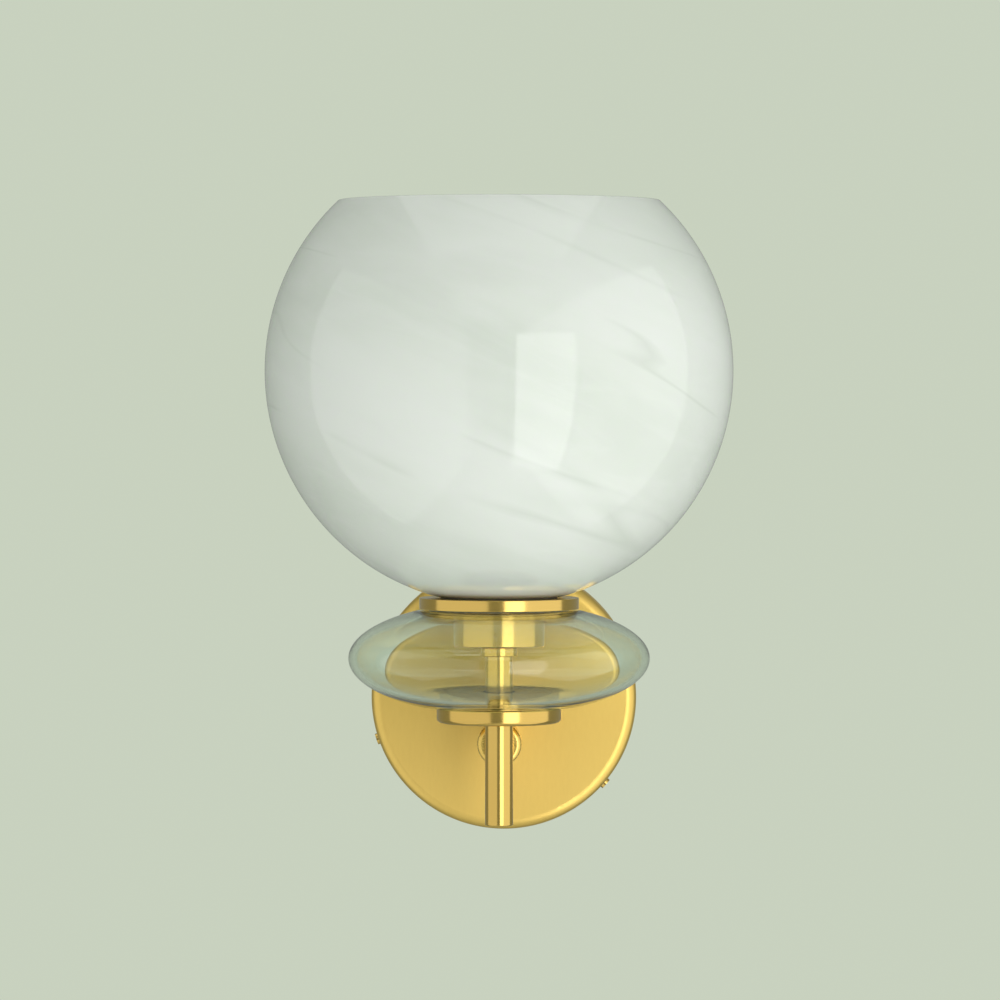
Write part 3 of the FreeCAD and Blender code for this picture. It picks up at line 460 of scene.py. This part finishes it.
OPAL = moulded("lamp_opal", (0.86, 0.86, 0.83), (0.91, 0.91, 0.88), (0.20, 0.26), scale=40, strength=0.02)
CORE = moulded("light_column", (0.80, 0.76, 0.50), (0.88, 0.84, 0.58), (0.4, 0.5))
LIVE = moulded("live_sheath", (0.20, 0.09, 0.04), (0.26, 0.12, 0.06), (0.4, 0.5))
NEUTRAL = moulded("neutral_sheath", (0.03, 0.10, 0.38), (0.05, 0.14, 0.46), (0.4, 0.5))
EARTH = moulded("earth_sheath", (0.12, 0.30, 0.04), (0.55, 0.50, 0.04), (0.4, 0.5), scale=120)


# ---------------------------------------------------------------- stone and glass
def globe_profile(seat, rim):
    """The open shell between its seat and its rim, from the foot outside to the hole inside."""
    inner = GLOBE_RADIUS - GLOBE_WALL
    middle = seat + math.sqrt(GLOBE_RADIUS ** 2 - GLOBE_SEAT_RADIUS ** 2)
    floor = seat + GLOBE_FLOOR
    edge_out = GLOBE_RADIUS - GLOBE_RIM_ROUND
    edge_in = inner + GLOBE_RIM_ROUND
    edge_up = rim - GLOBE_RIM_ROUND
    out_turn = math.degrees(math.asin((edge_up - middle) / edge_out))
    in_turn = math.degrees(math.asin((edge_up - middle) / edge_in))
    foot_turn = -math.degrees(math.asin((middle - seat) / GLOBE_RADIUS))
    floor_turn = -math.degrees(math.asin((middle - floor) / inner))
    out_centre = (edge_out * math.cos(math.radians(out_turn)), edge_up)
    in_centre = (edge_in * math.cos(math.radians(in_turn)), edge_up)
    profile = arc((0, middle), GLOBE_RADIUS, foot_turn, out_turn, GLOBE_OUTER_STEPS)
    profile += arc(out_centre, GLOBE_RIM_ROUND, out_turn, 90, GLOBE_RIM_STEPS)[1:]
    profile += arc(in_centre, GLOBE_RIM_ROUND, 90, 180 + in_turn, GLOBE_RIM_STEPS)
    profile += arc((0, middle), inner, in_turn, floor_turn, GLOBE_INNER_STEPS)[1:]
    return profile + [(GLOBE_HOLE, floor), (GLOBE_HOLE, seat)]


def make_globe():
    lathe("globe_stone", globe_profile(*foot_and_head("globe")), ALABASTER, "globe")


def glass_profile(foot, head):
    """A hollow oval of even wall, open for the tube at its foot and for the cup at its head."""
    middle = (foot + head) / 2
    inner_width = GLASS_HALF_WIDTH - GLASS_WALL
    inner_rise = GLASS_HALF_RISE - GLASS_WALL
    inner_foot = foot + GLASS_WALL
    inner_head = head - GLASS_WALL
    head_hole = radius("cup") + GLASS_CUP_CLEAR
    profile = [(GLASS_FOOT_HOLE, foot + GLASS_LIP), (GLASS_FOOT_HOLE + GLASS_LIP, foot)]
    profile += oval(GLASS_HALF_WIDTH, GLASS_HALF_RISE, middle, foot, head, GLASS_OUTER_STEPS)
    profile += [(head_hole + GLASS_LIP, head), (head_hole, head - GLASS_LIP), (head_hole, inner_head)]
    profile += oval(inner_width, inner_rise, middle, inner_foot, inner_head, GLASS_INNER_STEPS)[::-1]
    return profile + [(GLASS_FOOT_HOLE, inner_foot)]


def make_glass():
    profile = glass_profile(*foot_and_head("glass_body"))
    piece = lathe("glass_oval", profile, GLASS, "glass_body", sharp=SHARP_GLASS_EDGE)
    piece.visible_shadow = False


# ---------------------------------------------------------------- brass stack
def ring_profile(node, edge, under=None):
    """A bored disc or tube as tall and wide as its node, rounded outside."""
    foot, head = foot_and_head(node)
    outer = radius(node)
    return soften([
        (STACK_BORE, foot), (outer, foot, under or edge), (outer, head, edge), (STACK_BORE, head),
    ])


def cup_profile():
    foot, head = foot_and_head("cup")
    outer = radius("cup")
    inner = outer - CUP_WALL
    floor = foot + CUP_FLOOR
    return soften([
        (STACK_BORE, foot), (outer, foot, CUP_EDGE), (outer, head),
        (inner, head), (inner, floor), (STACK_BORE, floor),
    ])


def make_stack():
    gallery = ring_profile("gallery", GALLERY_EDGE)
    disc = ring_profile("lower_disc", DISC_EDGE, DISC_UNDER_ROUND)
    collar = ring_profile("collar", COLLAR_EDGE)
    sleeve = ring_profile("inner_sleeve", SLEEVE_EDGE)
    lathe("gallery_disc", gallery, BRASS_LEVEL, "gallery")
    lathe("seat_disc", disc, BRASS_LEVEL, "lower_disc")
    lathe("collar_ring", collar, BRASS_LEVEL, "collar", SMALL_STEPS)
    lathe("sleeve_tube", sleeve, BRASS_UPRIGHT, "inner_sleeve", SMALL_STEPS)
    lathe("cup_shell", cup_profile(), BRASS_LEVEL, "cup")


def make_stem():
    foot, head = foot_and_head("stem")
    outer = radius("stem")
    bottom = head - STEM_BORE_DEPTH
    profile = soften([
        (0, foot), (outer, foot, STEM_EDGE), (outer, head, STEM_TOP_EDGE), (STEM_BORE, head),
        (STEM_BORE, bottom), (0, bottom),
    ])
    lathe("stem_tube", profile, BRASS_UPRIGHT, "stem", SMALL_STEPS)


# ---------------------------------------------------------------- thread of the lampholder
def make_holder_sleeve():
    """A tube whose outside carries a rounded thread between two plain ends."""
    foot, head = foot_and_head("lampholder_sleeve")
    crest = radius("lampholder_sleeve")
    rows = int((head - foot) / THREAD_PITCH * THREAD_ROWS)

    def profile_at(turn):
        column = [(HOLDER_BORE, foot)]
        for row in range(rows + 1):
            up = foot + (head - foot) * row / rows
            from_foot = (up - foot - HOLDER_PLAIN_END) / THREAD_PITCH
            from_head = (head - HOLDER_PLAIN_END - up) / THREAD_PITCH
            fade = min(1, max(0, from_foot), max(0, from_head))
            wave = 0.5 - 0.5 * math.cos(2 * math.pi * up / THREAD_PITCH - turn)
            column.append((crest - THREAD_DEPTH * wave * fade, up))
        return column + [(HOLDER_BORE, head)]

    sleeve = spin(profile_at, SMALL_STEPS)
    add_piece("holder_sleeve", sleeve, HOLDER, "lampholder_sleeve", SHARP_THREAD_EDGE)


# ---------------------------------------------------------------- finish of the nodes that stay
FINISHES = {
    "backplate": BRASS_FACE, "arm_tube": BRASS_ARM, "knuckle": BRASS_ARM,
    "side_screw_1": BRASS_LEVEL, "side_screw_2": BRASS_LEVEL, "side_screw_3": BRASS_LEVEL,
    "wall_bracket": STEEL, "arm_washer": STEEL, "arm_nut": STEEL, "earth_washer": STEEL,
    "earth_screw": STEEL, "threaded_rod": STEEL, "terminal_screws": STEEL,
    "terminal_block": PLASTIC,
    "disc_seal": RUBBER, "gallery_seal": RUBBER, "globe_seal": RUBBER, "ring_seal": RUBBER,
    "lampholder_insert": HOLDER, "shade_ring": HOLDER,
    "centre_contact": CONTACT, "thread_shell": CONTACT,
    "lamp_cap": CAP_METAL, "lamp_tip": CAP_METAL, "lamp_glass": OPAL, "lamp_core": CORE,
    "live_wire": LIVE, "neutral_wire": NEUTRAL, "earth_wire": EARTH,
}


def finish_nodes():
    for name, material in FINISHES.items():
        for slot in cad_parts[name].material_slots:
            slot.material = material


# ---------------------------------------------------------------- floor and ground
BACKGROUND = (0.58, 0.64, 0.52)
FLOOR_DROP = 1.9
FLOOR_RADIUS = 5.0
FLOOR_COLOUR = (0.72, 0.74, 0.70)
FLOOR_ROUGHNESS = 0.9
FILL_COLOUR = (0.84, 0.92, 0.80)
FILL_STRENGTH = 0.34


def seen_directly(tree):
    """1 for the rays that come from the camera, straight or through glass."""
    path = put(tree, "ShaderNodeLightPath")
    return maths(tree, "MAXIMUM", path.outputs["Is Camera Ray"], path.outputs["Is Transmission Ray"])


def show_ground(tree, lit, ground, surface):
    """Show the plain ground to the rays seen directly, and what is lit to all the others."""
    mix = put(tree, "ShaderNodeMixShader")
    tree.links.new(seen_directly(tree), mix.inputs[0])
    tree.links.new(lit.outputs[0], mix.inputs[1])
    tree.links.new(ground.outputs[0], mix.inputs[2])
    tree.links.new(mix.outputs[0], surface)


def floor_material():
    material, tree, shader = new_material("floor")
    shader.inputs["Base Color"].default_value = (*FLOOR_COLOUR, 1)
    shader.inputs["Roughness"].default_value = FLOOR_ROUGHNESS
    ground = put(tree, "ShaderNodeEmission")
    ground.inputs["Color"].default_value = (*BACKGROUND, 1)
    show_ground(tree, shader, ground, output_of(tree).inputs["Surface"])
    return material


def make_floor():
    """A plain pale floor well below the light, which the camera sees in the ground's colour."""
    bm = bmesh.new()
    bmesh.ops.create_circle(bm, cap_ends=True, segments=SMALL_STEPS, radius=FLOOR_RADIUS)
    bmesh.ops.translate(bm, verts=bm.verts, vec=(0, -REACH, -FLOOR_DROP))
    mesh = bpy.data.meshes.new("floor")
    bm.to_mesh(mesh)
    bm.free()
    mesh.materials.append(floor_material())
    floor = bpy.data.objects.new("floor", mesh)
    bpy.context.scene.collection.objects.link(floor)


def backdrop(tree, colour, strength):
    node = put(tree, "ShaderNodeBackground")
    node.inputs["Color"].default_value = (*colour, 1)
    node.inputs["Strength"].default_value = strength
    return node


def make_world():
    """A dim even fill that lights the object, and the plain pale ground behind it."""
    world = bpy.data.worlds.new("studio")
    bpy.context.scene.world = world
    world.use_nodes = True
    tree = world.node_tree
    tree.nodes.clear()
    fill = backdrop(tree, FILL_COLOUR, FILL_STRENGTH)
    ground = backdrop(tree, BACKGROUND, 1.0)
    output = put(tree, "ShaderNodeOutputWorld")
    show_ground(tree, fill, ground, output.inputs[0])


# ---------------------------------------------------------------- light
GLOBE_CENTRE = Vector((0, -REACH, 0.145))
UP = Vector((0, 0, 1))
TOP_PANEL_RISE = 1.9
TOP_PANEL_SIZE = 2.2
TOP_PANEL_RADIANCE = 0.65


def area_light(name, place, facing, width, tall, radiance):
    """A soft panel of one brightness, whose energy follows from its size."""
    light = bpy.data.lights.new(name, "AREA")
    light.shape = "RECTANGLE"
    light.size = width
    light.size_y = tall
    light.energy = radiance * math.pi * width * tall
    lamp = bpy.data.objects.new(name, light)
    lamp.location = place
    lamp.rotation_euler = facing.to_track_quat("-Z", "Y").to_euler()
    lamp.visible_camera = False
    bpy.context.scene.collection.objects.link(lamp)


def panel(name, azimuth, near, left, right, top, bottom, radiance):
    """An upright panel square to a line at an azimuth from the camera's side, in degrees to
    the right. Its edges are given from that line's foot, as seen from the globe."""
    turn = math.radians(azimuth)
    out = Vector((math.sin(turn), -math.cos(turn), 0))
    side = Vector((math.cos(turn), math.sin(turn), 0))
    middle = out * near + side * ((left + right) / 2) + UP * ((top + bottom) / 2)
    area_light(name, GLOBE_CENTRE + middle, -out, right - left, top - bottom, radiance)


def make_lights():
    panel("panel_right", azimuth=76, near=1.0, left=-2.35, right=0.50, top=0.75, bottom=-1.9, radiance=0.80)
    panel("panel_left", azimuth=-77, near=1.0, left=-0.42, right=1.96, top=0.70, bottom=-1.78, radiance=0.56)
    panel("window_right", azimuth=24, near=1.6, left=-0.42, right=0.40, top=0.50, bottom=-1.7, radiance=1.5)
    panel("panel_front", azimuth=0, near=2.9, left=-1.2, right=1.4, top=2.6, bottom=1.3, radiance=0.5)
    above = GLOBE_CENTRE + UP * TOP_PANEL_RISE
    area_light("panel_top", above, -UP, TOP_PANEL_SIZE, TOP_PANEL_SIZE, TOP_PANEL_RADIANCE)


# ---------------------------------------------------------------- camera
CAMERA_DISTANCE = 2.2           # from the stem axis
CAMERA_AIM = Vector((0.0004, -REACH, 0.0898))
CAMERA_SIDE = 0.049
CAMERA_HEIGHT = 0.139
CAMERA_FAR_END = 50
SENSOR_WIDTH = 36               # millimetres, as Blender gives it
FRAME_PIXELS = 1000
PIXELS_PER_METRE = 2340.8       # at the aim, on a picture FRAME_PIXELS wide


def make_camera():
    """The camera stands at the photo's angle and distance."""
    camera = bpy.data.cameras.new("camera")
    viewer = bpy.data.objects.new("camera", camera)
    viewer.location = (CAMERA_SIDE, -REACH - CAMERA_DISTANCE, CAMERA_HEIGHT)
    line = CAMERA_AIM - viewer.location
    viewer.rotation_euler = line.to_track_quat("-Z", "Y").to_euler()
    camera.sensor_width = SENSOR_WIDTH
    camera.lens = line.length * PIXELS_PER_METRE / FRAME_PIXELS * SENSOR_WIDTH
    camera.clip_end = CAMERA_FAR_END
    bpy.context.scene.collection.objects.link(viewer)
    bpy.context.scene.camera = viewer


make_camera()
make_globe()
make_glass()
make_stack()
make_stem()
make_holder_sleeve()
finish_nodes()
make_floor()
make_world()
make_lights()
bpy.context.scene.view_settings.view_transform = "Standard"
